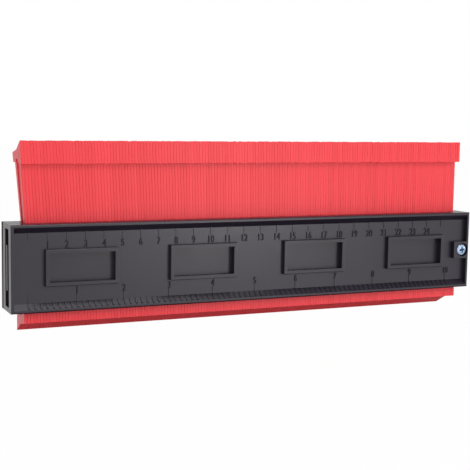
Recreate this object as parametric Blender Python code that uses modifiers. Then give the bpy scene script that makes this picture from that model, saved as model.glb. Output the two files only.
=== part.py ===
"""Contour gauge: thin plastic teeth that slide between two moulded covers.

The gauge stands upright. X runs along its scale, the front face with the scale looks along -Y,
and Z is up. The origin is under the middle of the gauge, level with the lower tips of the teeth.
Depths are measured from the front face towards the back. All sizes are in metres.
"""

import math

import bmesh
import bpy
from mathutils import Matrix, Vector

# Housing
HOUSING_LENGTH = 0.278
HOUSING_HEIGHT = 0.045
HOUSING_DEPTH = 0.022
SEAM_DEPTH = 0.008
SEAM_GAP = 0.0003
FRONT_EDGE_ROUND = 0.0005
BACK_EDGE_ROUND = 0.0012
ROUND_SEGMENTS = 2

# Sunk scale panel of the front cover, with a slope along its top and its bottom
RIM_WIDTH = 0.0015
PANEL_DEPTH = 0.003
PANEL_SLOPE_HEIGHT = 0.003

# Raised frames on the scale panel
FRAME_COUNT = 4
FRAME_END_INSET = 0.0373
FRAME_WIDTH = 0.039
FRAME_HEIGHT = 0.019
FRAME_WALL = 0.002
FRAME_TOP_DEPTH = 0.0004
FRAME_EDGE_ROUND = 0.0003
FRAME_POCKET_DEPTH = 0.0042

# Ribs of the ruler. Thin ones mark centimetres and inches on the panel, and broad ones that follow
# the bottom slope mark the eighths of an inch. The heights are above the housing's bottom, but
# the slope ribs start above the slope's own foot.
RULER_INSET = 0.0095
CENTIMETRE = 0.010
CENTIMETRE_COUNT = 25
INCH = 0.0254
INCH_COUNT = 10
INCH_PARTS = 8
RIB_WIDTH = 0.0005
RIB_RISE = 0.0003
RIB_SINK = 0.0004
SLOPE_RIB_WIDTH = 0.0010
SLOPE_RIB_RISE = 0.0006
SLOPE_RIB_START = 0.0007
CENTIMETRE_RIB_BOTTOM = 0.0366
INCH_RIB_TOP = 0.0084

# Screws: one through each cover, each at the right-hand end seen from its own side
SCREW_INSET = 0.0044
SCREW_HEAD_RADIUS = 0.0036
SCREW_HEAD_HEIGHT = 0.0018
SCREW_HEAD_DOME = 0.0006
SCREW_CROWN_RADIUS = 0.0020
SCREW_CROWN_DROP = 0.0002
SCREW_DOME_RADIUS = 0.0032
SCREW_SHANK_RADIUS = 0.0015
SCREW_POINT_LENGTH = 0.0014
FRONT_SCREW_LENGTH = 0.0125
BACK_SCREW_LENGTH = 0.0155
SCREW_CLEARANCE = 0.0003
SCREW_SIDES = 20
COUNTERBORE_RADIUS = 0.004
COUNTERBORE_DEPTH = 0.0020
PAD_LENGTH = 0.0105
PAD_HEIGHT = 0.010

# Openings in the two end faces
END_SLOT_FRONT = 0.005
END_SLOT_BACK = 0.0125
END_SLOT_MARGIN = 0.0026
END_SLOT_REACH = 0.0021
END_RIB_THICKNESS = 0.0019
END_RIB_HEIGHT = 0.0234
END_RIB_ROOT = 0.0003
END_GROOVE_FRONT = 0.0174
END_GROOVE_WIDTH = 0.002
END_GROOVE_REACH = 0.0008

# Teeth
TEETH_PER_GROUP = 4
TOOTH_PITCH = 0.001635
GROUP_GAP = 0.0003
TOOTH_DRAFT = 0.0003
TOOTH_LENGTH = 0.0994
STACK_INSET = 0.0092
STACK_FAR_INSET = 0.0070
SHANK_FRONT = 0.0076
SHANK_DEPTH = 0.0108
HEAD_DEPTH = 0.0178

# Head of a tooth, measured down from its tip
FACE_HEIGHT = 0.0117
FACE_GUSSET = 0.0120
CHAMFER_DEPTH = 0.009
CHAMFER_DROP = 0.0048
LEDGE_DROP = 0.0065
SHOULDER_END = 0.0115
SHOULDER_GUSSET = 0.0118

# Running clearances of the tooth stack
STOP_GAP = 0.0004
MOUTH_CLEARANCE = 0.0004
STACK_END_CLEARANCE = 0.0004

# Friction strips, one on each side of the teeth
STRIP_THICKNESS = 0.001
STRIP_HEIGHT = 0.020
STRIP_GAP = 0.0003

# How far a cutter runs past the face that it opens, and how close two points count as one
OVERRUN = 0.002
SAME_POINT = 0.000001

# Derived places
HALF_LENGTH = HOUSING_LENGTH / 2
FRONT_Y = -HOUSING_DEPTH / 2
HOUSING_BOTTOM = FACE_GUSSET + STOP_GAP
HOUSING_TOP = HOUSING_BOTTOM + HOUSING_HEIGHT
HOUSING_MIDDLE = HOUSING_BOTTOM + HOUSING_HEIGHT / 2
GROUP_PITCH = TEETH_PER_GROUP * TOOTH_PITCH
GROUP_COUNT = int((HOUSING_LENGTH - STACK_INSET - STACK_FAR_INSET) / GROUP_PITCH)
STACK_LENGTH = GROUP_COUNT * GROUP_PITCH
STACK_START = -HALF_LENGTH + STACK_INSET
STACK_END = STACK_START + STACK_LENGTH
SHANK_MIDDLE = SHANK_FRONT + SHANK_DEPTH / 2
SHANK_BACK = SHANK_FRONT + SHANK_DEPTH
QUARTER_TURN = math.pi / 2


def depth(value):
    """The world Y of a depth measured from the front face."""
    return FRONT_Y + value


def clear_scene():
    for old in list(bpy.data.objects):
        bpy.data.objects.remove(old)


def new_collection(name):
    collection = bpy.data.collections.new(name)
    bpy.context.scene.collection.children.link(collection)
    return collection


def new_material(name, colour, roughness, metallic=0.0):
    material = bpy.data.materials.new(name)
    material.use_nodes = True
    shader = material.node_tree.nodes["Principled BSDF"]
    shader.inputs["Base Color"].default_value = (*colour, 1.0)
    shader.inputs["Roughness"].default_value = roughness
    shader.inputs["Metallic"].default_value = metallic
    material.diffuse_color = (*colour, 1.0)
    return material


def object_of(bm, name, collection, material=None):
    """Turns a bmesh into a linked object."""
    mesh = bpy.data.meshes.new(name)
    bm.to_mesh(mesh)
    bm.free()
    made = bpy.data.objects.new(name, mesh)
    collection.objects.link(made)
    if material:
        mesh.materials.append(material)
    return made


def box_mesh(low, high):
    """A bmesh box between two corners."""
    low, high = Vector(low), Vector(high)
    bm = bmesh.new()
    place = Matrix.Translation((low + high) / 2) @ Matrix.Diagonal((*(high - low), 1.0))
    bmesh.ops.create_cube(bm, size=1.0, matrix=place)
    return bm


def round_face_edges(bm, y, radius):
    """Rounds the four edges of a box's face at one Y."""
    edges = [e for e in bm.edges if all(abs(v.co.y - y) < SAME_POINT for v in e.verts)]
    bmesh.ops.bevel(
        bm, geom=edges, offset=radius, segments=ROUND_SEGMENTS, profile=0.5, affect="EDGES"
    )


def helper(bm, name, cutters):
    """A cutter, or a piece to be joined on, which isn't a part by itself."""
    made = object_of(bm, name, cutters)
    made.hide_render = True
    made.display_type = "WIRE"
    return made


def combine(target, tool, operation):
    modifier = target.modifiers.new(f"{operation.lower()} {tool.name}", "BOOLEAN")
    modifier.operation = operation
    modifier.object = tool


def cylinder_mesh(radius, x, z, depth_from, depth_to):
    """A bmesh cylinder along Y between two depths."""
    bm = bmesh.new()
    middle = Vector((x, depth((depth_from + depth_to) / 2), z))
    turn = Matrix.Rotation(-QUARTER_TURN, 4, "X")
    bmesh.ops.create_cone(
        bm,
        cap_ends=True,
        segments=SCREW_SIDES,
        radius1=radius,
        radius2=radius,
        depth=depth_to - depth_from,
        matrix=Matrix.Translation(middle) @ turn,
    )
    return bm


def prism_along_x(name, outline, x_from, x_to, collection):
    """A flat outline of (y, z) corners carried along X, as a curve turned into a mesh."""
    curve = bpy.data.curves.new(name + " outline", "CURVE")
    curve.dimensions = "2D"
    curve.fill_mode = "BOTH"
    curve.extrude = (x_to - x_from) / 2
    spline = curve.splines.new("POLY")
    spline.points.add(len(outline) - 1)
    for point, (y, z) in zip(spline.points, outline):
        point.co = (y, z, 0.0, 1.0)
    spline.use_cyclic_u = True
    drawn = bpy.data.objects.new(name + " outline", curve)
    collection.objects.link(drawn)
    bpy.context.view_layer.update()
    graph = bpy.context.evaluated_depsgraph_get()
    mesh = bpy.data.meshes.new_from_object(drawn.evaluated_get(graph))
    bpy.data.objects.remove(drawn)
    # The curve's own x, y and z become the world's Y, Z and X.
    turn = Matrix(((0, 0, 1, (x_from + x_to) / 2), (1, 0, 0, 0), (0, 1, 0, 0), (0, 0, 0, 1)))
    mesh.transform(turn)
    bm = bmesh.new()
    bm.from_mesh(mesh)
    bpy.data.meshes.remove(mesh)
    bmesh.ops.remove_doubles(bm, verts=bm.verts, dist=SAME_POINT)
    bmesh.ops.recalc_face_normals(bm, faces=bm.faces)
    for face in bm.faces:
        face.smooth = False
    return bm


def panel_recess(cutters):
    """The sunk panel: upright walls at its two ends, slopes along its top and its bottom."""
    edge_low, edge_high = HOUSING_BOTTOM + RIM_WIDTH, HOUSING_TOP - RIM_WIDTH
    outline = [
        (depth(-OVERRUN), edge_low),
        (depth(0.0), edge_low),
        (depth(PANEL_DEPTH), edge_low + PANEL_SLOPE_HEIGHT),
        (depth(PANEL_DEPTH), edge_high - PANEL_SLOPE_HEIGHT),
        (depth(0.0), edge_high),
        (depth(-OVERRUN), edge_high),
    ]
    end = HALF_LENGTH - RIM_WIDTH
    return helper(prism_along_x("panel recess", outline, -end, end, cutters), "panel recess", cutters)


def frame_centres():
    """The X of each frame's middle, spread evenly between the first and the last."""
    first = -HALF_LENGTH + FRAME_END_INSET
    pitch = -2 * first / (FRAME_COUNT - 1)
    return [first + pitch * k for k in range(FRAME_COUNT)]


def rib_row(name, outline, width, places, cutters):
    """A rib at each place along X, all of one width and one flat outline of (y, z) corners."""
    bm = bmesh.new()
    for x in places:
        loft(bm, [(x - width / 2, outline), (x + width / 2, outline)])
    return helper(bm, name, cutters)


def upright_outline(low_z, high_z):
    """The (y, z) corners of a thin rib on the panel between two heights."""
    near, far = depth(PANEL_DEPTH - RIB_RISE), depth(PANEL_DEPTH + RIB_SINK)
    return [(near, low_z), (near, high_z), (far, high_z), (far, low_z)]


def ruler_ribs(cutters):
    """All the ribs of the ruler. The slope ribs of whole inches run on up the panel as thin ones."""
    zero = -HALF_LENGTH + RULER_INSET
    last = HALF_LENGTH - RIM_WIDTH - SLOPE_RIB_WIDTH
    slope_low = HOUSING_BOTTOM + RIM_WIDTH
    slope_high = slope_low + PANEL_SLOPE_HEIGHT
    panel_top = HOUSING_TOP - RIM_WIDTH - PANEL_SLOPE_HEIGHT

    foot_depth = PANEL_DEPTH * SLOPE_RIB_START / PANEL_SLOPE_HEIGHT
    on_slope = [
        (depth(foot_depth + RIB_SINK), slope_low + SLOPE_RIB_START),
        (depth(foot_depth - SLOPE_RIB_RISE), slope_low + SLOPE_RIB_START),
        (depth(PANEL_DEPTH - SLOPE_RIB_RISE), slope_high),
        (depth(PANEL_DEPTH + RIB_SINK), slope_high),
    ]
    inch_line = upright_outline(slope_high - SLOPE_RIB_RISE, HOUSING_BOTTOM + INCH_RIB_TOP)
    centimetre_line = upright_outline(HOUSING_BOTTOM + CENTIMETRE_RIB_BOTTOM, panel_top + RIB_RISE)

    def marks(step, count):
        return [zero + step * k for k in range(count + 1) if zero + step * k < last]

    eighths = marks(INCH / INCH_PARTS, INCH_COUNT * INCH_PARTS)
    return [
        rib_row("slope ribs", on_slope, SLOPE_RIB_WIDTH, eighths, cutters),
        rib_row("inch ribs", inch_line, RIB_WIDTH, marks(INCH, INCH_COUNT), cutters),
        rib_row(
            "centimetre ribs", centimetre_line, RIB_WIDTH, marks(CENTIMETRE, CENTIMETRE_COUNT), cutters
        ),
    ]


def frame_box(name, x, margin, top, bottom, cutters, round_off=0.0):
    """A box over one frame, its four sides moved in by the margin, and its front edges rounded."""
    half_width = FRAME_WIDTH / 2 - margin
    half_height = FRAME_HEIGHT / 2 - margin
    low = (x - half_width, depth(top), HOUSING_MIDDLE - half_height)
    high = (x + half_width, depth(bottom), HOUSING_MIDDLE + half_height)
    bm = box_mesh(low, high)
    if round_off:
        round_face_edges(bm, low[1], round_off)
    return helper(bm, name, cutters)


def stack_cutter(name, front, back, half_height, clearance, cutters):
    """A box as long as the tooth stack between two depths, about the housing's middle height."""
    low = (STACK_START - clearance, depth(front), HOUSING_MIDDLE - half_height)
    high = (STACK_END + clearance, depth(back), HOUSING_MIDDLE + half_height)
    return helper(box_mesh(low, high), name, cutters)


def end_slot(name, side, front, back, cutters):
    """The tall slot in an end face, for one cover. side is -1 on the left and 1 on the right."""
    ends = sorted((side * (HALF_LENGTH - END_SLOT_REACH), side * (HALF_LENGTH + OVERRUN)))
    low = (ends[0], depth(front), HOUSING_BOTTOM + END_SLOT_MARGIN)
    high = (ends[1], depth(back), HOUSING_TOP - END_SLOT_MARGIN)
    return helper(box_mesh(low, high), name, cutters)


def screw_hole(name, radius, side, depth_from, depth_to, cutters):
    x = side * (HALF_LENGTH - SCREW_INSET)
    return helper(cylinder_mesh(radius, x, HOUSING_MIDDLE, depth_from, depth_to), name, cutters)


def front_cover(parts, cutters, plastic):
    """The cover with the scale panel, its four frames and the screw pad."""
    back = SEAM_DEPTH - SEAM_GAP / 2
    bm = box_mesh(
        (-HALF_LENGTH, FRONT_Y, HOUSING_BOTTOM), (HALF_LENGTH, depth(back), HOUSING_TOP)
    )
    round_face_edges(bm, FRONT_Y, FRONT_EDGE_ROUND)
    cover = object_of(bm, "front_cover", parts, plastic)
    combine(cover, panel_recess(cutters), "DIFFERENCE")

    for k, x in enumerate(frame_centres()):
        seat = (PANEL_DEPTH + FRAME_POCKET_DEPTH) / 2
        block = frame_box(
            f"frame {k + 1}", x, 0.0, FRAME_TOP_DEPTH, seat, cutters, FRAME_EDGE_ROUND
        )
        combine(cover, block, "UNION")
        pocket = frame_box(
            f"frame pocket {k + 1}", x, FRAME_WALL, -OVERRUN, FRAME_POCKET_DEPTH, cutters
        )
        combine(cover, pocket, "DIFFERENCE")

    for ribs in ruler_ribs(cutters):
        combine(cover, ribs, "UNION")

    pad_low = (HALF_LENGTH - PAD_LENGTH, FRONT_Y, HOUSING_MIDDLE - PAD_HEIGHT / 2)
    pad_high = (
        HALF_LENGTH - RIM_WIDTH / 2,
        depth((PANEL_DEPTH + back) / 2),
        HOUSING_MIDDLE + PAD_HEIGHT / 2,
    )
    combine(cover, helper(box_mesh(pad_low, pad_high), "screw pad", cutters), "UNION")

    mouth = SHANK_FRONT - MOUTH_CLEARANCE
    past = back + OVERRUN
    whole_height = HOUSING_HEIGHT / 2 + OVERRUN
    channel = stack_cutter(
        "front channel", mouth, past, whole_height, STACK_END_CLEARANCE, cutters
    )
    combine(cover, channel, "DIFFERENCE")
    strip_floor = SHANK_FRONT - 2 * STRIP_GAP - STRIP_THICKNESS
    seat = stack_cutter(
        "front strip seat",
        strip_floor,
        past,
        STRIP_HEIGHT / 2 + STRIP_GAP,
        STACK_END_CLEARANCE,
        cutters,
    )
    combine(cover, seat, "DIFFERENCE")

    shank_hole = SCREW_SHANK_RADIUS + SCREW_CLEARANCE
    bore = screw_hole("front screw hole", shank_hole, 1, -OVERRUN, past, cutters)
    combine(cover, bore, "DIFFERENCE")
    sink = screw_hole(
        "front counterbore", COUNTERBORE_RADIUS, 1, -OVERRUN, COUNTERBORE_DEPTH, cutters
    )
    combine(cover, sink, "DIFFERENCE")
    tip = HOUSING_DEPTH - COUNTERBORE_DEPTH - BACK_SCREW_LENGTH
    pilot = screw_hole("back screw pilot", shank_hole, -1, tip - SCREW_CLEARANCE, past, cutters)
    combine(cover, pilot, "DIFFERENCE")

    for side, word in ((-1, "left"), (1, "right")):
        slot = end_slot(f"front {word} end slot", side, END_SLOT_FRONT, past, cutters)
        combine(cover, slot, "DIFFERENCE")
    return cover


def rear_cover(parts, cutters, plastic):
    """The deep cover that holds the tooth channel."""
    front = SEAM_DEPTH + SEAM_GAP / 2
    back_y = depth(HOUSING_DEPTH)
    bm = box_mesh((-HALF_LENGTH, depth(front), HOUSING_BOTTOM), (HALF_LENGTH, back_y, HOUSING_TOP))
    round_face_edges(bm, back_y, BACK_EDGE_ROUND)
    cover = object_of(bm, "rear_cover", parts, plastic)

    before = front - OVERRUN
    whole_height = HOUSING_HEIGHT / 2 + OVERRUN
    channel = stack_cutter(
        "rear channel",
        before,
        SHANK_BACK + MOUTH_CLEARANCE,
        whole_height,
        STACK_END_CLEARANCE,
        cutters,
    )
    combine(cover, channel, "DIFFERENCE")
    seat = stack_cutter(
        "rear strip seat",
        before,
        SHANK_BACK + 2 * STRIP_GAP + STRIP_THICKNESS,
        STRIP_HEIGHT / 2 + STRIP_GAP,
        STACK_END_CLEARANCE,
        cutters,
    )
    combine(cover, seat, "DIFFERENCE")

    for side, word in ((-1, "left"), (1, "right")):
        slot = end_slot(f"rear {word} end slot", side, before, END_SLOT_BACK, cutters)
        combine(cover, slot, "DIFFERENCE")
        ends = sorted((side * (HALF_LENGTH - END_SLOT_REACH - END_RIB_ROOT), side * HALF_LENGTH))
        low = (ends[0], depth(front), HOUSING_MIDDLE - END_RIB_HEIGHT / 2)
        high = (ends[1], depth(front + END_RIB_THICKNESS), HOUSING_MIDDLE + END_RIB_HEIGHT / 2)
        combine(cover, helper(box_mesh(low, high), f"{word} end rib", cutters), "UNION")
        ends = sorted((side * (HALF_LENGTH - END_GROOVE_REACH), side * (HALF_LENGTH + OVERRUN)))
        low = (ends[0], depth(END_GROOVE_FRONT), HOUSING_BOTTOM - OVERRUN)
        high = (ends[1], depth(END_GROOVE_FRONT + END_GROOVE_WIDTH), HOUSING_TOP + OVERRUN)
        groove = helper(box_mesh(low, high), f"{word} end groove", cutters)
        combine(cover, groove, "DIFFERENCE")

    shank_hole = SCREW_SHANK_RADIUS + SCREW_CLEARANCE
    past = HOUSING_DEPTH + OVERRUN
    bore = screw_hole("back screw hole", shank_hole, -1, before, past, cutters)
    combine(cover, bore, "DIFFERENCE")
    floor = HOUSING_DEPTH - COUNTERBORE_DEPTH
    sink = screw_hole("back counterbore", COUNTERBORE_RADIUS, -1, floor, past, cutters)
    combine(cover, sink, "DIFFERENCE")
    tip = COUNTERBORE_DEPTH + FRONT_SCREW_LENGTH
    pilot = screw_hole("front screw pilot", shank_hole, 1, before, tip + SCREW_CLEARANCE, cutters)
    combine(cover, pilot, "DIFFERENCE")
    return cover


def screw(name, parts, steel, side, seat_depth, facing, length):
    """A pan head screw turned about its own Z axis, its head up, and laid along Y.

    seat_depth is where the head seats, and facing is -1 for a head at the front, 1 at the back.
    """
    dome_start = SCREW_HEAD_HEIGHT - SCREW_HEAD_DOME
    profile = [
        (0.0, SCREW_HEAD_HEIGHT),
        (SCREW_CROWN_RADIUS, SCREW_HEAD_HEIGHT - SCREW_CROWN_DROP),
        (SCREW_DOME_RADIUS, dome_start),
        (SCREW_HEAD_RADIUS, dome_start / 2),
        (SCREW_HEAD_RADIUS, SCREW_CLEARANCE),
        (SCREW_SHANK_RADIUS, SCREW_CLEARANCE),
        (SCREW_SHANK_RADIUS, SCREW_POINT_LENGTH - length),
        (0.0, -length),
    ]
    bm = bmesh.new()
    corners = [bm.verts.new((r, 0.0, z)) for r, z in profile]
    for first, second in zip(corners, corners[1:]):
        bm.edges.new((first, second))
    made = object_of(bm, name, parts, steel)
    turn = made.modifiers.new("turned", "SCREW")
    turn.axis = "Z"
    turn.steps = SCREW_SIDES
    turn.render_steps = SCREW_SIDES
    turn.use_merge_vertices = True
    turn.merge_threshold = SAME_POINT
    made.rotation_euler = (-facing * QUARTER_TURN, 0.0, 0.0)
    made.location = (side * (HALF_LENGTH - SCREW_INSET), depth(seat_depth), HOUSING_MIDDLE)
    return made


def friction_strip(name, parts, felt, front):
    """A felt strip that presses on the teeth and keeps them where they are pushed."""
    low = (STACK_START, depth(front), HOUSING_MIDDLE - STRIP_HEIGHT / 2)
    high = (STACK_END, depth(front + STRIP_THICKNESS), HOUSING_MIDDLE + STRIP_HEIGHT / 2)
    return object_of(box_mesh(low, high), name, parts, felt)


def tooth_outline():
    """Corners of a tooth seen from its end, as (y, z) about its middle, going round once.

    The upper head has its edge at the front. The lower half is the upper half turned half
    a turn about the middle, so the lower edge is at the back.
    """
    top = TOOTH_LENGTH / 2
    shank = SHANK_DEPTH / 2
    head = HEAD_DEPTH / 2
    upper = [
        (-shank, top - FACE_GUSSET),
        (-head, top - FACE_HEIGHT),
        (-head, top),
        (-head + CHAMFER_DEPTH, top - CHAMFER_DROP),
        (head, top - LEDGE_DROP),
        (head, top - SHOULDER_END),
        (shank, top - SHOULDER_GUSSET),
    ]
    lower = [(-y, -z) for y, z in upper]
    return [Vector(corner) for corner in upper + lower]


def inset(outline, distance):
    """The outline with each of its sides moved inwards by the same distance.

    Each corner moves along the line between its two sides' normals, so that both sides keep
    their slopes.
    """
    moved = []
    for k, corner in enumerate(outline):
        along_in = (corner - outline[k - 1]).normalized()
        along_out = (outline[(k + 1) % len(outline)] - corner).normalized()
        normal_in = Vector((along_in.y, -along_in.x))
        normal_out = Vector((along_out.y, -along_out.x))
        middle = (normal_in + normal_out).normalized()
        moved.append(corner + middle * distance / middle.dot(normal_in))
    return moved


def loft(bm, sections):
    """Joins closed sections of equal corner count with faces, and closes the two ends.

    Each section is an X and the (y, z) corners at that X.
    """
    rings = [[bm.verts.new((x, y, z)) for y, z in corners] for x, corners in sections]
    for left, right in zip(rings, rings[1:]):
        count = len(left)
        for k in range(count):
            after = (k + 1) % count
            bm.faces.new((left[k], left[after], right[after], right[k]))
    bm.faces.new(reversed(rings[0]))
    bm.faces.new(rings[-1])
    bmesh.ops.recalc_face_normals(bm, faces=bm.faces)


def tooth_group_mesh():
    """A few teeth side by side. Each is a little smaller on its right face, so every edge shows."""
    full = tooth_outline()
    small = inset(full, TOOTH_DRAFT)
    width = (TEETH_PER_GROUP * TOOTH_PITCH - GROUP_GAP) / TEETH_PER_GROUP
    start = -width * TEETH_PER_GROUP / 2
    sections = []
    for k in range(TEETH_PER_GROUP):
        sections.append((start + width * k, full))
        sections.append((start + width * (k + 1), small))
    bm = bmesh.new()
    loft(bm, sections)
    mesh = bpy.data.meshes.new("tooth_group")
    bm.to_mesh(mesh)
    bm.free()
    return mesh


def tooth_groups(parts, plastic):
    """All the teeth, in groups that slide up and down on their own.

    Each group's origin lies on its sliding axis, at the middle of the teeth.
    """
    mesh = tooth_group_mesh()
    mesh.materials.append(plastic)
    groups = []
    for k in range(GROUP_COUNT):
        group = bpy.data.objects.new(f"tooth_group_{k + 1:02d}", mesh)
        group.location = (STACK_START + GROUP_PITCH * (k + 0.5), depth(SHANK_MIDDLE), TOOTH_LENGTH / 2)
        parts.objects.link(group)
        groups.append(group)
    return groups


def main():
    clear_scene()
    parts = new_collection("contour_gauge")
    cutters = new_collection("cutters")
    black_plastic = new_material("black moulded plastic", (0.030, 0.030, 0.034), 0.45)
    red_plastic = new_material("red moulded plastic", (0.86, 0.075, 0.085), 0.40)
    steel = new_material("zinc plated steel", (0.62, 0.66, 0.70), 0.30, metallic=1.0)
    felt = new_material("grey felt", (0.22, 0.22, 0.22), 0.95)

    front_cover(parts, cutters, black_plastic)
    rear_cover(parts, cutters, black_plastic)
    screw("front_screw", parts, steel, 1, COUNTERBORE_DEPTH, -1, FRONT_SCREW_LENGTH)
    back_seat = HOUSING_DEPTH - COUNTERBORE_DEPTH
    screw("rear_screw", parts, steel, -1, back_seat, 1, BACK_SCREW_LENGTH)
    front_strip = SHANK_FRONT - STRIP_GAP - STRIP_THICKNESS
    friction_strip("front_friction_strip", parts, felt, front_strip)
    friction_strip("rear_friction_strip", parts, felt, SHANK_BACK + STRIP_GAP)
    groups = tooth_groups(parts, red_plastic)

    gauge = bpy.data.objects.new("gauge origin", None)
    parts.objects.link(gauge)
    for piece in [o for o in parts.objects if o is not gauge]:
        piece.parent = gauge
    print(f"{len(groups)} tooth groups, {len(groups) * TEETH_PER_GROUP} teeth")


main()
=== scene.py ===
# %% [markdown]
# # A contour gauge
#
# A contour gauge copies the outline of a thing that is pushed against it. About 160 thin plastic
# teeth stand side by side in a black housing, and each slides up and down by itself. This lesson
# takes a plain solid model of the gauge and gives it its looks: moulded black plastic with a
# raised ruler, red teeth that lean a little out of line, and two zinc plated screws.

# %% Load the frame
import math

import bmesh
import bpy
import numpy as np
from mathutils import Matrix, Vector


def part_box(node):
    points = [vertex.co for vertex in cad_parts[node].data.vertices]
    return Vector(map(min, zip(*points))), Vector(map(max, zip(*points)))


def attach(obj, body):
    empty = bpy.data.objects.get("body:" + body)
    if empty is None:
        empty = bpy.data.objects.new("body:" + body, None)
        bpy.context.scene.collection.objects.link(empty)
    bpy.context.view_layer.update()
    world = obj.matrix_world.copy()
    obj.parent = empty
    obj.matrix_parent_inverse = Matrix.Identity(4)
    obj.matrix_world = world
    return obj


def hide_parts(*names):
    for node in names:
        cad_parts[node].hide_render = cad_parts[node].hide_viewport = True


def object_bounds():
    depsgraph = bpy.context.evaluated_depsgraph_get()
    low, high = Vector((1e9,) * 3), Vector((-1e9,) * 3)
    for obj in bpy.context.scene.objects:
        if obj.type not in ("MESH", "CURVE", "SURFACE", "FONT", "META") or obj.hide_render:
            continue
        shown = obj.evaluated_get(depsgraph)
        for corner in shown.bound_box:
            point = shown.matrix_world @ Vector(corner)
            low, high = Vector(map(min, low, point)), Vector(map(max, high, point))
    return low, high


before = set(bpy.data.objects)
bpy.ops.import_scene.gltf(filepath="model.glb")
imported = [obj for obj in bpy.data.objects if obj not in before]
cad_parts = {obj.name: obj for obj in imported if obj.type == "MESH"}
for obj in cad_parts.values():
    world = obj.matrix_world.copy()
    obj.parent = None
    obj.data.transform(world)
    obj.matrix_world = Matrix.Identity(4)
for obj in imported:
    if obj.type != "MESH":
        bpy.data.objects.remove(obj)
CAD_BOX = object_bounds()

# %% [markdown]
# ## The camera
#
# The photograph was taken from the left and a little above with a long lens. The place, the turn
# and the lens come from the ruler, whose marks are a known distance apart, so a camera can be
# fitted to them. The camera looks along its own minus Z, so its matrix has the picture's right,
# the picture's up and the way back to the viewer as its three columns.

# %% Place the camera
CAMERA_PLACE = (-0.26336, -0.54643, 0.11489)
CAMERA_YAW, CAMERA_PITCH, CAMERA_ROLL = (math.radians(a) for a in (24.758, 6.405, 0.942))
CAMERA_LENS = 83.61


def camera_axes(yaw, pitch, roll):
    """Right, up and back of a camera turned by yaw from +Y towards +X, tipped down by pitch, and
    rolled by roll about its line of sight."""
    ahead = np.array([
        math.sin(yaw) * math.cos(pitch), math.cos(yaw) * math.cos(pitch), -math.sin(pitch)
    ])
    level = np.array([math.cos(yaw), -math.sin(yaw), 0.0])
    above = np.cross(level, ahead)
    right = level * math.cos(roll) + above * math.sin(roll)
    up = above * math.cos(roll) - level * math.sin(roll)
    return right, up, -ahead


camera = bpy.data.objects.new("camera", bpy.data.cameras.new("camera"))
bpy.context.scene.collection.objects.link(camera)
axes = np.column_stack(camera_axes(CAMERA_YAW, CAMERA_PITCH, CAMERA_ROLL))
camera.matrix_world = Matrix.Translation(CAMERA_PLACE) @ Matrix(axes.tolist()).to_4x4()
camera.data.lens = CAMERA_LENS
bpy.context.scene.camera = camera
print("camera at", CAMERA_PLACE, "with a lens of", CAMERA_LENS, "mm")

# %% [markdown]
# ## Shader maths as plain expressions
#
# A material is a graph of nodes, and a formula in it soon hides the idea. So a socket is wrapped
# in a small class whose operators add the Math nodes: `1 - mask * 0.3` then reads as it is.

# %% A socket that can be added and multiplied
MIX_FACTOR, MIX_FIRST, MIX_SECOND, MIX_RESULT = 0, 6, 7, 2


class Socket:
    """The output of a node, with operators that add Math nodes behind it."""

    def __init__(self, paint, out):
        self.paint, self.out = paint, out

    def _maths(self, operation, a, b):
        return self.paint.node("ShaderNodeMath", {"operation": operation}, a, b)

    def __add__(self, other):
        return self._maths("ADD", self, other)

    def __radd__(self, other):
        return self._maths("ADD", other, self)

    def __sub__(self, other):
        return self._maths("SUBTRACT", self, other)

    def __rsub__(self, other):
        return self._maths("SUBTRACT", other, self)

    def __mul__(self, other):
        return self._maths("MULTIPLY", self, other)

    def __rmul__(self, other):
        return self._maths("MULTIPLY", other, self)


class Paint:
    """One material or world, with its shader and a method that adds any other node."""

    def __init__(self, name, world=None):
        self.material = world or bpy.data.materials.new(name)
        self.material.use_nodes = True
        self.tree = self.material.node_tree
        self.shader = self.tree.nodes["Background" if world else "Principled BSDF"]

    def node(self, kind, settings=None, *values, out=0, **named):
        """Adds a node: its settings first, then its inputs in order, or by name."""
        made = self.tree.nodes.new(kind)
        for key, value in (settings or {}).items():
            setattr(made, key, value)
        for key, value in [*enumerate(values), *named.items()]:
            self.feed(made, key.replace("_", " ") if isinstance(key, str) else key, value)
        return Socket(self, made.outputs[out])

    def feed(self, node, key, value):
        """Links a socket into a node's input, or sets the input to a plain value."""
        if isinstance(value, Socket):
            self.tree.links.new(value.out, node.inputs[key])
        else:
            node.inputs[key].default_value = value

    def place(self):
        """The place in the object's own axes, in metres."""
        return self.node("ShaderNodeTexCoord", out="Object")

    def noise(self, scale, detail=2.0, at=None):
        """A smooth noise from 0 to 1, with about scale swells to a metre and detail finer ones."""
        where = at or self.place()
        return self.node("ShaderNodeTexNoise", None, Vector=where, Scale=scale, Detail=detail)

    def mix(self, factor, first, second):
        """A colour between two, each an (r, g, b) in linear light."""
        made = self.tree.nodes.new("ShaderNodeMix")
        made.data_type = "RGBA"
        self.feed(made, MIX_FACTOR, factor)
        self.feed(made, MIX_FIRST, (*first, 1.0))
        self.feed(made, MIX_SECOND, (*second, 1.0))
        return Socket(self, made.outputs[MIX_RESULT])

    def bump(self, height, strength, distance):
        """A normal tilted as if the surface rose by height times distance, in metres."""
        return self.node("ShaderNodeBump", None, Strength=strength, Distance=distance, Height=height)

    def finish(self, **inputs):
        """Feeds the shader's inputs by name and gives back the material."""
        for key, value in inputs.items():
            self.feed(self.shader, key.replace("_", " "), value)
        return self.material


print("expressions on sockets are ready")

# %% [markdown]
# ## Black moulded plastic
#
# The housing comes out of a mould whose steel was lightly blasted, so its skin is satin with a
# fine grain, and it is a dark grey and not a true black. The grain is a bump far too small to see
# by itself: it spreads the gloss. Two broader noises stand for the flow of the plastic and for
# the handling that leaves some places shinier than others.

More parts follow.
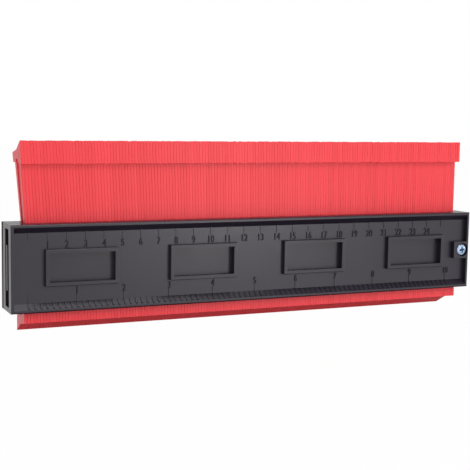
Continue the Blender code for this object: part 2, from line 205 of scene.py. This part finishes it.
# %% Mix the black plastic
BLACK_DARK, BLACK_PALE = (0.0112, 0.0074, 0.0160), (0.0185, 0.0132, 0.0245)
BLACK_ROUGHNESS, BLACK_ROUGHNESS_SPREAD = 0.24, 0.14
BLACK_IOR = 1.55
GRAIN_PER_METRE, FLOW_PER_METRE, HANDLING_PER_METRE = 4200.0, 28.0, 90.0
GRAIN_STRENGTH, GRAIN_DEPTH = 0.22, 0.00005

black = Paint("black moulded plastic")
flow = black.noise(FLOW_PER_METRE, 3.0)
handling = black.noise(HANDLING_PER_METRE, 4.0)
black_plastic = black.finish(
    Base_Color=black.mix(flow, BLACK_DARK, BLACK_PALE),
    Roughness=BLACK_ROUGHNESS + handling * BLACK_ROUGHNESS_SPREAD,
    IOR=BLACK_IOR,
    Normal=black.bump(black.noise(GRAIN_PER_METRE), GRAIN_STRENGTH, GRAIN_DEPTH),
)
print("black plastic from", BLACK_DARK, "to", BLACK_PALE)

# %% [markdown]
# ## Red plastic
#
# The teeth are moulded in a smooth red plastic. All came from one batch but not from one shot, so
# neighbours differ slightly in colour. Each tooth carries a number of its own as an attribute, and
# the material turns it into a slightly different red. Sliding in the housing leaves faint marks
# along the teeth: a noise that is stretched along them.

# %% Mix the red plastic
RED_DEEP, RED_BRIGHT = (0.80, 0.032, 0.042), (0.895, 0.045, 0.059)
RED_ROUGHNESS, RED_ROUGHNESS_SPREAD = 0.34, 0.14
BATCH_SHARE = 0.75
DRAG_ACROSS, DRAG_ALONG = 1400.0, 30.0
DRAG_STRENGTH, DRAG_DEPTH = 0.12, 0.00004

red = Paint("red moulded plastic")
batch = red.node("ShaderNodeAttribute", {"attribute_name": "batch"}, out="Fac")
drag_scale = (DRAG_ACROSS, DRAG_ACROSS, DRAG_ALONG)
drag_place = red.node("ShaderNodeMapping", None, Vector=red.place(), Scale=drag_scale)
drag = red.noise(1.0, 3.0, drag_place)
red_plastic = red.finish(
    Base_Color=red.mix(batch * BATCH_SHARE + drag * (1.0 - BATCH_SHARE), RED_DEEP, RED_BRIGHT),
    Roughness=RED_ROUGHNESS + drag * RED_ROUGHNESS_SPREAD,
    Normal=red.bump(drag, DRAG_STRENGTH, DRAG_DEPTH),
)
print("red plastic from", RED_DEEP, "to", RED_BRIGHT)

# %% [markdown]
# ## Zinc plate and felt
#
# The screws are steel with a thin bright zinc plate, passivated to a faint blue. The plate in the
# cross recess gets a darker zinc colour, which is painted shade, because little light gets in. The
# felt strips hide inside the housing, and only their ends could ever be seen.

# %% Mix the zinc plate and the felt
ZINC_DARK, ZINC_PALE = (0.29, 0.40, 0.57), (0.44, 0.57, 0.74)
SHADED_ZINC_DARK, SHADED_ZINC_PALE = (0.06, 0.11, 0.20), (0.12, 0.19, 0.31)
TARNISH_PER_METRE, PITTING_PER_METRE = 900.0, 2600.0
FELT_DARK, FELT_PALE = (0.10, 0.10, 0.10), (0.30, 0.30, 0.30)
FIBRES_PER_METRE, FIBRE_DEPTH = 2600.0, 0.0002

zinc = Paint("zinc plate")
tarnish = zinc.noise(TARNISH_PER_METRE, 4.0)
zinc_plate = zinc.finish(
    Base_Color=zinc.mix(tarnish, ZINC_DARK, ZINC_PALE),
    Metallic=1.0,
    Roughness=0.22 + tarnish * 0.16,
    Normal=zinc.bump(zinc.noise(PITTING_PER_METRE, 3.0), 0.15, 0.00004),
)

# A darker zinc for the faces of the cross recess: painted shade, because little light gets in.
recess = Paint("zinc plate with painted shade in the recess")
recess_painted_shade = recess.finish(
    Base_Color=recess.mix(recess.noise(TARNISH_PER_METRE, 4.0), SHADED_ZINC_DARK, SHADED_ZINC_PALE),
    Metallic=1.0,
    Roughness=0.5,
)

wool = Paint("grey felt")
fibres = wool.noise(FIBRES_PER_METRE, 6.0)
felt = wool.finish(
    Base_Color=wool.mix(fibres, FELT_DARK, FELT_PALE),
    Roughness=0.95,
    Normal=wool.bump(fibres, 0.6, FIBRE_DEPTH),
)
print("zinc plate and felt are ready")

# %% [markdown]
# ## Softened covers
#
# A moulded edge is never sharp: the tool's own corner leaves a radius of a tenth or two of a
# millimetre, and that thin bright line is what makes an edge read as plastic. The covers' shape is
# already right, so a copy of each has its triangles merged back into flat faces, and a small bevel
# goes on every corner sharper than 25 degrees. Smooth shading alone would bend the light over the
# flat faces too, so the normals are weighted by area: a large face keeps its own.

# %% Soften the covers
MOULD_RADIUS = 0.00016
SHARP_FROM = math.radians(25.0)
FLAT_WITHIN = math.radians(0.5)
SAME_POINT = 0.000002
LARGE_FACE_WEIGHT = 100


def softened(node, material, radius=MOULD_RADIUS):
    """A copy of a CAD node with flat faces, rounded corners and smooth shading."""
    bm = bmesh.new()
    bm.from_mesh(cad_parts[node].data)
    bmesh.ops.remove_doubles(bm, verts=bm.verts, dist=SAME_POINT)
    bmesh.ops.dissolve_limit(bm, angle_limit=FLAT_WITHIN, verts=bm.verts, edges=bm.edges)
    mesh = bpy.data.meshes.new(node + "_skin")
    bm.to_mesh(mesh)
    bm.free()
    mesh.materials.clear()
    mesh.materials.append(material)
    mesh.shade_smooth()
    piece = bpy.data.objects.new(node + "_skin", mesh)
    bpy.context.scene.collection.objects.link(piece)
    bevel = piece.modifiers.new("mould radius", "BEVEL")
    bevel.width, bevel.segments = radius, 2
    bevel.limit_method, bevel.angle_limit = "ANGLE", SHARP_FROM
    piece.modifiers.new("flat faces stay flat", "WEIGHTED_NORMAL").weight = LARGE_FACE_WEIGHT
    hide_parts(node)
    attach(piece, "housing")
    return piece


for cover in ("front_cover", "rear_cover"):
    skin = softened(cover, black_plastic)
    print(cover, "softened:", len(skin.data.polygons), "faces")

# %% [markdown]
# ## Teeth
#
# Each tooth is a thin moulded plate: a shank that runs through the housing and a head at each end,
# the lower one turned half a turn, so that either end has its tracing edge. The outline is the CAD
# one: its length, its width and the housing's height are read from the nodes, and the corners
# between them have the same sizes as in the CAD. It is carried across the tooth's thickness as a
# stack of rings whose first and last are drawn in, which leaves a narrow chamfer along the edges. A
# bevel would do that too, but on 160 teeth it would cost far more faces.

# %% Outline of one tooth
TEETH_PER_GROUP = 4
GROUPS = sorted(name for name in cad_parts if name.startswith("tooth_group_"))
FIRST_LOW, FIRST_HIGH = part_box(GROUPS[0])
HOUSING_LOW, HOUSING_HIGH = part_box("front_cover")
LENGTH = FIRST_HIGH.z - FIRST_LOW.z
HEAD_HALF = (FIRST_HIGH.y - FIRST_LOW.y) / 2
STACK_Y = (FIRST_HIGH.y + FIRST_LOW.y) / 2
TOOTH_PITCH = (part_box(GROUPS[1])[0].x - FIRST_LOW.x) / TEETH_PER_GROUP
SHANK_HALF = 0.0054
FACE_HEIGHT, FACE_GUSSET = 0.0117, 0.0120
CHAMFER_DEPTH, CHAMFER_DROP, LEDGE_DROP = 0.009, 0.0048, 0.0065
SHOULDER_END, SHOULDER_GUSSET = 0.0115, 0.0118


def tooth_outline():
    """Corners (y, z) about the tooth's middle. The lower half is the upper one turned half a turn.

    Between the halves stand the four points where the shank's two sides pass the housing's top and
    underside, because that is where a real tooth bends.
    """
    top = LENGTH / 2
    upper = [
        (-SHANK_HALF, top - FACE_GUSSET), (-HEAD_HALF, top - FACE_HEIGHT), (-HEAD_HALF, top),
        (-HEAD_HALF + CHAMFER_DEPTH, top - CHAMFER_DROP), (HEAD_HALF, top - LEDGE_DROP),
        (HEAD_HALF, top - SHOULDER_END), (SHANK_HALF, top - SHOULDER_GUSSET),
    ]
    bends = [(SHANK_HALF, HOUSING_HIGH.z - top), (SHANK_HALF, HOUSING_LOW.z - top)]
    turned = [(-y, -z) for y, z in upper]
    return np.array(upper + bends + turned + [(-y, z) for y, z in reversed(bends)])


def inwards(sides):
    """The outline's sides, each turned a quarter so that it points into the outline."""
    return np.column_stack([sides[:, 1], -sides[:, 0]])


def drawn_in(outline, by):
    """The outline with every side moved inwards by the same distance."""
    before, after = outline - np.roll(outline, 1, axis=0), np.roll(outline, -1, axis=0) - outline
    before /= np.linalg.norm(before, axis=1, keepdims=True)
    after /= np.linalg.norm(after, axis=1, keepdims=True)
    middle = inwards(before) + inwards(after)
    middle /= np.linalg.norm(middle, axis=1, keepdims=True)
    return outline + middle * by / np.sum(middle * inwards(before), axis=1, keepdims=True)


# %% [markdown]
# A real stack never stands true. Each tooth's heads are a trace thicker than its shank, so 160 of
# them spread above and below the housing, while the shanks inside stay nearly upright in their
# channel. Turning each tooth about its middle would tilt the shanks too, so its points are moved
# sideways instead, by an amount that grows from the housing's top upwards. That is why the outline
# has corners at the housing's top and underside: a tooth bends there.

# %% Lean of the stack
LEAN_MIDDLE, LEAN_ACROSS, LEAN_CURVE = -0.025, 0.031, -0.010
BASE_MIDDLE, BASE_ACROSS = 0.00006, 0.00026
UPPER_MIDDLE, UPPER_ACROSS = 0.00008, 0.00078
LOWER_MIDDLE, LOWER_ACROSS = -0.00055, 0.00085
HEAD_BEND = 0.0004
TWIST_AT_HOUSING = 0.0003
STACK_MIDDLE = (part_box(GROUPS[0])[0].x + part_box(GROUPS[-1])[1].x) / 2
STACK_HALF = (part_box(GROUPS[-1])[1].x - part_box(GROUPS[0])[0].x) / 2


def leaned(points, lean, twisted):
    """Moves points sideways, by an amount that depends on where in the stack they are.

    across runs from -1 at the stack's left end to 1 at its right one. The shanks spread a little in
    their channel. Above the housing they lean with a slope that falls from left to right. The heads
    of both ends are a trace thicker than the shanks, so over 160 teeth they spread further. lean is
    the tooth's own small slope, and twisted is how far it takes the first tooth's twist, whose front
    stands out and whose back stands in at the housing, and which is gone at its head.
    """
    across = (points[:, 0] - STACK_MIDDLE) / STACK_HALF
    above = np.clip(points[:, 2] - HOUSING_HIGH.z, 0.0, None)
    back = (points[:, 1] - STACK_Y) / HEAD_HALF
    upper = np.clip((points[:, 2] - (FIRST_HIGH.z - FACE_GUSSET)) / HEAD_BEND, 0.0, 1.0)
    lower = np.clip((HOUSING_LOW.z - points[:, 2]) / HEAD_BEND, 0.0, 1.0)
    untwisted = np.clip(above / (LENGTH - HOUSING_HIGH.z), 0.0, 1.0)
    moved = points.copy()
    moved[:, 0] += BASE_MIDDLE + BASE_ACROSS * across
    moved[:, 0] += above * (LEAN_MIDDLE + lean + LEAN_ACROSS * across + LEAN_CURVE * across**2)
    moved[:, 0] += upper * (UPPER_MIDDLE + UPPER_ACROSS * across)
    moved[:, 0] += lower * (LOWER_MIDDLE + LOWER_ACROSS * across)
    moved[:, 0] += twisted * TWIST_AT_HOUSING * back * (1.0 - untwisted)
    return moved


# %% [markdown]
# The first tooth shows its whole side, and a darker band runs up it. It is made here as a shallow
# web between two thicker edges, which would save plastic and let a tooth slide freely. Only the two
# end teeth get one, because the others hide their sides. The web's outline is the tooth's own with
# every corner brought to the nearest point of a rectangle, so the same rings of points can carry on
# from the edge, over the side and into the web.

# %% Rings across one tooth
TOOTH_EDGE = 0.00012
WEB_HALF_DEPTH, WEB_HALF_HEIGHT, WEB_SINK = 0.0024, 0.040, 0.0005
HEAD_FRONT, HEAD_REAR = 1, 5


def tooth_rings(outline, x, width, webbed):
    """Rings of (x, y, z) points across one tooth. A webbed one begins and ends inside its webs."""
    side = [(0.0, drawn_in(outline, TOOTH_EDGE)), (TOOTH_EDGE, outline)]
    if webbed:
        corner = np.array([WEB_HALF_DEPTH, WEB_HALF_HEIGHT])
        web = np.clip(outline, -corner, corner)
        side = [(WEB_SINK, web), (0.0, web), *side]
    steps = side + [(width - along, ring) for along, ring in reversed(side)]
    return [
        np.column_stack([np.full(len(ring), x + along), ring[:, 0] + STACK_Y, ring[:, 1] + LENGTH / 2])
        for along, ring in steps
    ]


def cap_faces(around):
    """A ladder of faces across one ring, so that it can bend where the tooth bends.

    The upper head is one face, from the outline's corner HEAD_FRONT to its corner HEAD_REAR. Down
    from there each rung joins a front corner, counted backwards, to a rear one, counted on. The
    last rung is the upper edge of the lower head.
    """
    head = list(range(HEAD_FRONT, HEAD_REAR + 1))
    rungs = around // 2 - len(head) + 2
    front = [(HEAD_FRONT - k) % around for k in range(rungs)]
    rear = [HEAD_REAR + k for k in range(rungs)]
    steps = [[front[k + 1], front[k], rear[k], rear[k + 1]] for k in range(rungs - 1)]
    lowest = [rear[-1] + k for k in range(len(head))]
    return [head, *steps, lowest]


def rings_to_faces(count, around, first):
    """Quads between neighbouring rings, and a ladder of faces over each end."""
    k, j = np.meshgrid(np.arange(count - 1), np.arange(around), indexing="ij")
    after = (j + 1) % around
    here, above = k * around, (k + 1) * around
    quads = np.stack([here + j, here + after, above + after, above + j], -1)
    faces = (quads.reshape(-1, 4) + first).tolist()
    for start in (first, first + (count - 1) * around):
        faces += [[start + corner for corner in face] for face in cap_faces(around)]
    return faces


for kind, webbed in (("plain", False), ("webbed", True)):
    rings = tooth_rings(tooth_outline(), 0.0, TOOTH_PITCH, webbed)
    print(kind, "tooth:", len(rings), "rings")

# %% [markdown]
# Four neighbouring teeth slide together in the model, so they make one piece, but each is drawn by
# itself, with a hair of air between it and the next. A modifier could repeat one tooth 160 times.
# But no two real ones look alike, so each gets its own small lean, height and red, from a
# generator with a fixed seed, which makes the same stack in every run. A plain tooth has only 68
# faces, because 160 of them add up.

# %% Make the teeth
LEAN_SPREAD, LIFT_SPREAD = 0.0002, 0.00010
TOOTH_AIR = 0.00002
TWIST_FADE = 12
TEETH = TEETH_PER_GROUP * len(GROUPS)
chance = np.random.default_rng(7)


def tooth_piece(node):
    """Four teeth as one mesh, on the body of their group.

    Each draws its own lean, the drop of its upper half and its colour. The first tooth's twist
    fades with the power TWIST_FADE of the distance from the stack's middle.
    """
    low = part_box(node)[0]
    outline = tooth_outline()
    points, faces, batches = [], [], []
    for k in range(TEETH_PER_GROUP):
        at_end = GROUPS.index(node) * TEETH_PER_GROUP + k in (0, TEETH - 1)
        x = low.x + TOOTH_PITCH * k
        rings = tooth_rings(outline, x + TOOTH_AIR / 2, TOOTH_PITCH - TOOTH_AIR, at_end)
        faces += rings_to_faces(len(rings), len(outline), sum(len(p) for p in points))
        twisted = max((STACK_MIDDLE - x) / STACK_HALF, 0.0) ** TWIST_FADE
        own = leaned(np.concatenate(rings), chance.normal(0.0, LEAN_SPREAD), twisted)
        own[:, 2] -= abs(chance.normal(0.0, LIFT_SPREAD)) * (own[:, 2] > LENGTH / 2)
        points.append(own)
        batches.append(np.full(len(own), chance.uniform()))
    mesh = bpy.data.meshes.new(node.replace("group", "set"))
    mesh.from_pydata(np.concatenate(points).tolist(), [], faces)
    tag = mesh.attributes.new("batch", "FLOAT", "POINT")
    tag.data.foreach_set("value", np.concatenate(batches).astype(np.float32))
    mesh.materials.append(red_plastic)
    bm = bmesh.new()
    bm.from_mesh(mesh)
    bmesh.ops.remove_doubles(bm, verts=bm.verts, dist=SAME_POINT)
    bmesh.ops.recalc_face_normals(bm, faces=bm.faces)
    bm.to_mesh(mesh)
    bm.free()
    mesh.shade_smooth()
    mesh.set_sharp_from_angle(angle=SHARP_FROM)
    piece = bpy.data.objects.new(mesh.name, mesh)
    bpy.context.scene.collection.objects.link(piece)
    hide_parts(node)
    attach(piece, node.replace("tooth_group", "teeth"))
    return piece


teeth = [tooth_piece(node) for node in GROUPS]
print(len(teeth) * TEETH_PER_GROUP, "teeth")

# %% [markdown]
# ## Screws and felt
#
# The screws' heads are turned forms with a cross recess. The recess is two crossed, tapered wedges
# cut out of the head. Its walls and floor are told from the head's own face by their tilt or their
# depth, and get the darker zinc, which is painted shade. The felt strips only need their material.

# %% Cut the cross recess
RECESS_LENGTH, RECESS_WIDTH, RECESS_DEPTH, RECESS_TAPER = 0.0050, 0.0013, 0.0013, 0.5
RECESS_WALL_TILT = 0.8
SCREW_RADIUS = 0.0001
SCREW_TURN = math.radians(-7.0)


def wedge_cutter(name, place, facing):
    """A bar that narrows towards its floor. facing is the way the head looks along Y."""
    bm = bmesh.new()
    bmesh.ops.create_cube(bm, size=1.0)
    for v in bm.verts:
        narrow = RECESS_TAPER if v.co.y * facing < 0 else 1.0
        v.co = (
            v.co.x * RECESS_WIDTH * narrow, v.co.y * 2 * RECESS_DEPTH, v.co.z * RECESS_LENGTH * narrow
        )
    bmesh.ops.transform(bm, matrix=place, verts=bm.verts)
    mesh = bpy.data.meshes.new(name)
    bm.to_mesh(mesh)
    bm.free()
    cutter = bpy.data.objects.new(name, mesh)
    bpy.context.scene.collection.objects.link(cutter)
    return cutter


def in_recess(mesh, middle, facing):
    """Whether each face of a screw's mesh is a wall or the floor of the recess."""
    centres, normals = np.empty(3 * len(mesh.polygons)), np.empty(3 * len(mesh.polygons))
    mesh.polygons.foreach_get("center", centres)
    mesh.polygons.foreach_get("normal", normals)
    away = centres.reshape(-1, 3) - middle
    depth = -facing * away[:, 1]
    cut = (np.abs(normals[1::3]) < RECESS_WALL_TILT) | (depth > RECESS_DEPTH / 2)
    near = np.hypot(away[:, 0], away[:, 2]) < RECESS_LENGTH / 2
    return near & cut & (depth < 2 * RECESS_DEPTH)


def finished_screw(node, facing, turned):
    """A softened copy of the screw with the recess cut in and the cutters removed."""
    low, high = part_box(node)
    piece = softened(node, zinc_plate, SCREW_RADIUS)
    middle = ((low.x + high.x) / 2, low.y if facing < 0 else high.y, (low.z + high.z) / 2)
    cutters = []
    for k, angle in enumerate((turned, turned + math.pi / 2)):
        place = Matrix.Translation(middle) @ Matrix.Rotation(angle, 4, "Y")
        cutters.append(wedge_cutter(f"{node}_wedge_{k}", place, facing))
        piece.modifiers.new("recess", "BOOLEAN").object = cutters[-1]
    bpy.context.view_layer.update()
    graph = bpy.context.evaluated_depsgraph_get()
    mesh = bpy.data.meshes.new_from_object(piece.evaluated_get(graph))
    piece.modifiers.clear()
    piece.data = mesh
    for cutter in cutters:
        bpy.data.objects.remove(cutter)
    mesh.shade_smooth()
    mesh.set_sharp_from_angle(angle=SHARP_FROM)
    # The recess faces take the darker zinc, which paints their shade.
    mesh.materials.append(recess_painted_shade)
    inside = in_recess(mesh, np.array(middle), facing)
    mesh.polygons.foreach_set("material_index", inside.astype(np.int32))
    return piece


for node, facing in (("front_screw", -1), ("rear_screw", 1)):
    print(node, "has", len(finished_screw(node, facing, SCREW_TURN).data.polygons), "faces")
for node in ("front_friction_strip", "rear_friction_strip"):
    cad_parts[node].data.materials.clear()
    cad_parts[node].data.materials.append(felt)

# %% [markdown]
# ## Numerals
#
# The ruler's numbers stand a fraction of a millimetre proud of the panel, in the same black
# plastic. In the photograph their whole strokes are darker than the panel, so their faces get a
# duller finish that mirrors less of the white studio, and a darker base colour, which is painted
# shade for the strokes.

# %% Dull the numerals and paint their shade
NUMERAL_SHADED_DARK, NUMERAL_SHADED_PALE = (0.0080, 0.0054, 0.0112), (0.0140, 0.0100, 0.0180)
NUMERAL_ROUGHNESS, NUMERAL_ROUGHNESS_SPREAD = 0.5, 0.2
NUMERAL_IOR = 1.42

dull = Paint("dull black of the numerals with painted shade")
# The base colour, darker than the panel's, is painted shade for the strokes.
numeral_black_and_painted_shade = dull.finish(
    Base_Color=dull.mix(dull.noise(FLOW_PER_METRE, 3.0), NUMERAL_SHADED_DARK, NUMERAL_SHADED_PALE),
    Roughness=NUMERAL_ROUGHNESS + dull.noise(HANDLING_PER_METRE, 4.0) * NUMERAL_ROUGHNESS_SPREAD,
    IOR=NUMERAL_IOR,
    Normal=dull.bump(dull.noise(GRAIN_PER_METRE), GRAIN_STRENGTH, GRAIN_DEPTH),
)
print("numerals from", NUMERAL_SHADED_DARK, "to", NUMERAL_SHADED_PALE)

# %% [markdown]
# The numbers could be a picture laid over the panel, but the real ones are part of the moulding and
# catch the light on their edges. So each is a text object with a thickness. It is made a mesh
# first, and then narrowed, turned to face the front and put in its place. The numbers of one row
# are joined, because they share a body and a finish.

# %% Raise the numerals
RULER_ZERO = HOUSING_LOW.x + 0.0095
PANEL_Y = HOUSING_LOW.y + 0.003
NUMERAL_RISE, NUMERAL_SINK = 0.00045, 0.0001
NUMERAL_BOLD = 0.00003
NUMERAL_NARROWING = 0.80
CENTIMETRE, CENTIMETRES = 0.010, 24
CENTIMETRE_BASE, CENTIMETRE_SIZE = HOUSING_LOW.z + 0.0325, 0.0054
INCH, INCHES = 0.0254, 10
INCH_BASE, INCH_SIZE = HOUSING_LOW.z + 0.0086, 0.0052


def numeral(text, size, x, z):
    """A number's mesh in its place: a thin slab whose face stands proud of the panel."""
    curve = bpy.data.curves.new("numeral " + text, "FONT")
    curve.body, curve.size, curve.align_x = text, size, "CENTER"
    curve.extrude, curve.offset = (NUMERAL_RISE + NUMERAL_SINK) / 2, NUMERAL_BOLD
    drawn = bpy.data.objects.new("numeral " + text, curve)
    bpy.context.scene.collection.objects.link(drawn)
    bpy.context.view_layer.update()
    graph = bpy.context.evaluated_depsgraph_get()
    mesh = bpy.data.meshes.new_from_object(drawn.evaluated_get(graph))
    bpy.data.objects.remove(drawn)
    upright = Matrix.Rotation(math.pi / 2, 4, "X")
    y = PANEL_Y + (NUMERAL_SINK - NUMERAL_RISE) / 2
    narrow = Matrix.Diagonal((NUMERAL_NARROWING, 1.0, 1.0, 1.0))
    mesh.transform(Matrix.Translation((x, y, z)) @ upright @ narrow)
    return mesh


def numerals(name, count, pitch, size, base):
    """The numbers of one row from 1 to count, joined into one piece."""
    bm = bmesh.new()
    for k in range(1, count + 1):
        part = numeral(str(k), size, RULER_ZERO + pitch * k, base)
        bm.from_mesh(part)
        bpy.data.meshes.remove(part)
    bmesh.ops.remove_doubles(bm, verts=bm.verts, dist=SAME_POINT)
    mesh = bpy.data.meshes.new(name)
    bm.to_mesh(mesh)
    bm.free()
    mesh.materials.clear()
    mesh.materials.append(numeral_black_and_painted_shade)
    piece = bpy.data.objects.new(name, mesh)
    bpy.context.scene.collection.objects.link(piece)
    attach(piece, "housing")
    return piece


numerals("centimetre_numerals", CENTIMETRES, CENTIMETRE, CENTIMETRE_SIZE, CENTIMETRE_BASE)
numerals("inch_numerals", INCHES, INCH, INCH_SIZE, INCH_BASE)
print("numbers 1 to", CENTIMETRES, "and 1 to", INCHES)

# %% [markdown]
# ## Studio
#
# A white sweep and a white sky light a product evenly. Both turn white by their own material for
# the rays that the camera sends, straight or by way of a glossy face, so the lamps can stay at a
# plain level. Black plastic owes most of its look to that: its end and its top are seen at a low
# angle, where any plastic mirrors, and they show the white sweep behind. Overhead a studio is dark
# apart from its lamps, so the sky fades with height for glossy rays.
#
# The floor lies 30 mm below the resting teeth, which leaves room for them when they are pushed
# down. Near the gauge a painted shadow makes it darker for the rays that come off the gauge, fully
# for glossy ones and in part for diffuse ones, because the underside of the lower heads is a deep red
# in the photograph, and a white floor below would be mirrored in it.

# %% Floor and sky
WHITE = (1.0, 1.0, 1.0, 1.0)
FLOOR_HALF = 4.0
FLOOR_DROP = 0.0300
FLOOR_PALE, FLOOR_SHADED = (0.86, 0.86, 0.86), (0.03, 0.03, 0.03)
FLOOR_WHITE = 0.97
SHADE_FROM, SHADE_TO = 0.045, 0.08
DIFFUSE_SHADE = 0.4
SKY_FOR_LIGHT = 0.60
SKY_OVERHEAD = 0.25
FADE_FROM, FADE_TO = 0.25, 0.65


def seen_rays(paint, *kinds):
    """1 for a ray of any of the kinds, else 0."""
    found = [paint.node("ShaderNodeLightPath", out=f"Is {kind} Ray") for kind in kinds]
    seen = found[0]
    for other in found[1:]:
        seen = paint.node("ShaderNodeMath", {"operation": "MAXIMUM"}, seen, other)
    return seen


def vector_maths(paint, operation, *values, out=0):
    """One operation on whole vectors, because a Math node would keep only their mean."""
    return paint.node("ShaderNodeVectorMath", {"operation": operation}, *values, out=out)


def clear_of_gauge(paint):
    """0 under the gauge and up to SHADE_FROM outside its footprint, rising to 1 at SHADE_TO."""
    size = CAD_BOX[1] - CAD_BOX[0]
    away = vector_maths(paint, "ABSOLUTE", paint.place())
    away = vector_maths(paint, "SUBTRACT", away, (size.x / 2, size.y / 2, 0.0))
    away = vector_maths(paint, "MAXIMUM", away, (0.0, 0.0, 0.0))
    distance = vector_maths(paint, "LENGTH", away, out="Value")
    return paint.node("ShaderNodeMapRange", None, distance, SHADE_FROM, SHADE_TO, 0.0, 1.0)


floor_paint = Paint("pale floor")
clear = clear_of_gauge(floor_paint)
glossy, diffuse = seen_rays(floor_paint, "Glossy"), seen_rays(floor_paint, "Diffuse")
# The painted shadow: near the gauge the floor's colour turns to FLOOR_SHADED for glossy rays, and
# partly for diffuse ones.
shaded = (glossy + diffuse * DIFFUSE_SHADE) * (1.0 - clear)
floor_paint.finish(Base_Color=floor_paint.mix(shaded, FLOOR_PALE, FLOOR_SHADED), Roughness=0.9)
glow = floor_paint.node("ShaderNodeEmission", None, Color=WHITE, Strength=1.0)
blend = floor_paint.tree.nodes.new("ShaderNodeMixShader")
straight = seen_rays(floor_paint, "Camera", "Transmission")
floor_paint.feed(blend, 0, (straight + glossy * clear) * FLOOR_WHITE)
links, surface = floor_paint.tree.links, floor_paint.tree.nodes["Material Output"].inputs["Surface"]
links.new(floor_paint.shader.outputs[0], blend.inputs[1])
links.new(glow.out, blend.inputs[2])
links.new(blend.outputs[0], surface)

ground = bpy.data.meshes.new("floor")
corners = [(FLOOR_HALF * x, FLOOR_HALF * y, 0.0) for x, y in ((-1, -1), (1, -1), (1, 1), (-1, 1))]
ground.from_pydata(corners, [], [(0, 1, 2, 3)])
ground.materials.append(floor_paint.material)
floor = bpy.data.objects.new("floor", ground)
bpy.context.scene.collection.objects.link(floor)
floor.location.z = -FLOOR_DROP

sky = Paint("sky", bpy.data.worlds.new("sky"))
bpy.context.scene.world = sky.material
direction = sky.node("ShaderNodeTexCoord", out="Generated")
height = sky.node("ShaderNodeSeparateXYZ", None, direction, out="Z")
fade = sky.node("ShaderNodeMapRange", None, height, FADE_FROM, FADE_TO, 1.0, SKY_OVERHEAD)
straight, glossy = seen_rays(sky, "Camera", "Transmission"), seen_rays(sky, "Glossy")
brightness = SKY_FOR_LIGHT + straight * (1.0 - SKY_FOR_LIGHT) + glossy * (fade - SKY_FOR_LIGHT)
sky.finish(Color=WHITE, Strength=brightness)
print("floor and sky, the sky giving", SKY_FOR_LIGHT)

# %% [markdown]
# ## Lamps
#
# Four soft boxes give the light its direction. The right and the high one light the teeth and the
# front, and the one overhead catches the top edges. The small low lamp stands close to where the
# satin panel mirrors, seen from the camera, so it makes the panel paler in its middle than at its
# ends.

# %% Light the gauge
AIMED_AT = Vector((0.0, 0.0, 0.05))


def lamp(name, place, size, watts):
    """A square soft box that looks at the gauge."""
    light = bpy.data.lights.new(name, "AREA")
    light.size, light.energy = size, watts
    made = bpy.data.objects.new(name, light)
    bpy.context.scene.collection.objects.link(made)
    made.location = place
    made.rotation_euler = (AIMED_AT - made.location).to_track_quat("-Z", "Y").to_euler()
    return made


lamp("right softbox", (1.40, -0.30, 0.25), 0.6, 6.5)
lamp("high softbox", (0.10, -1.15, 0.95), 0.6, 6.2)
lamp("overhead softbox", (0.18, -0.15, 1.15), 0.5, 1.7)
lamp("low lamp", (0.34, -0.81, 0.05), 0.12, 0.62)
bpy.context.scene.view_settings.view_transform = "Standard"
print("studio lit")
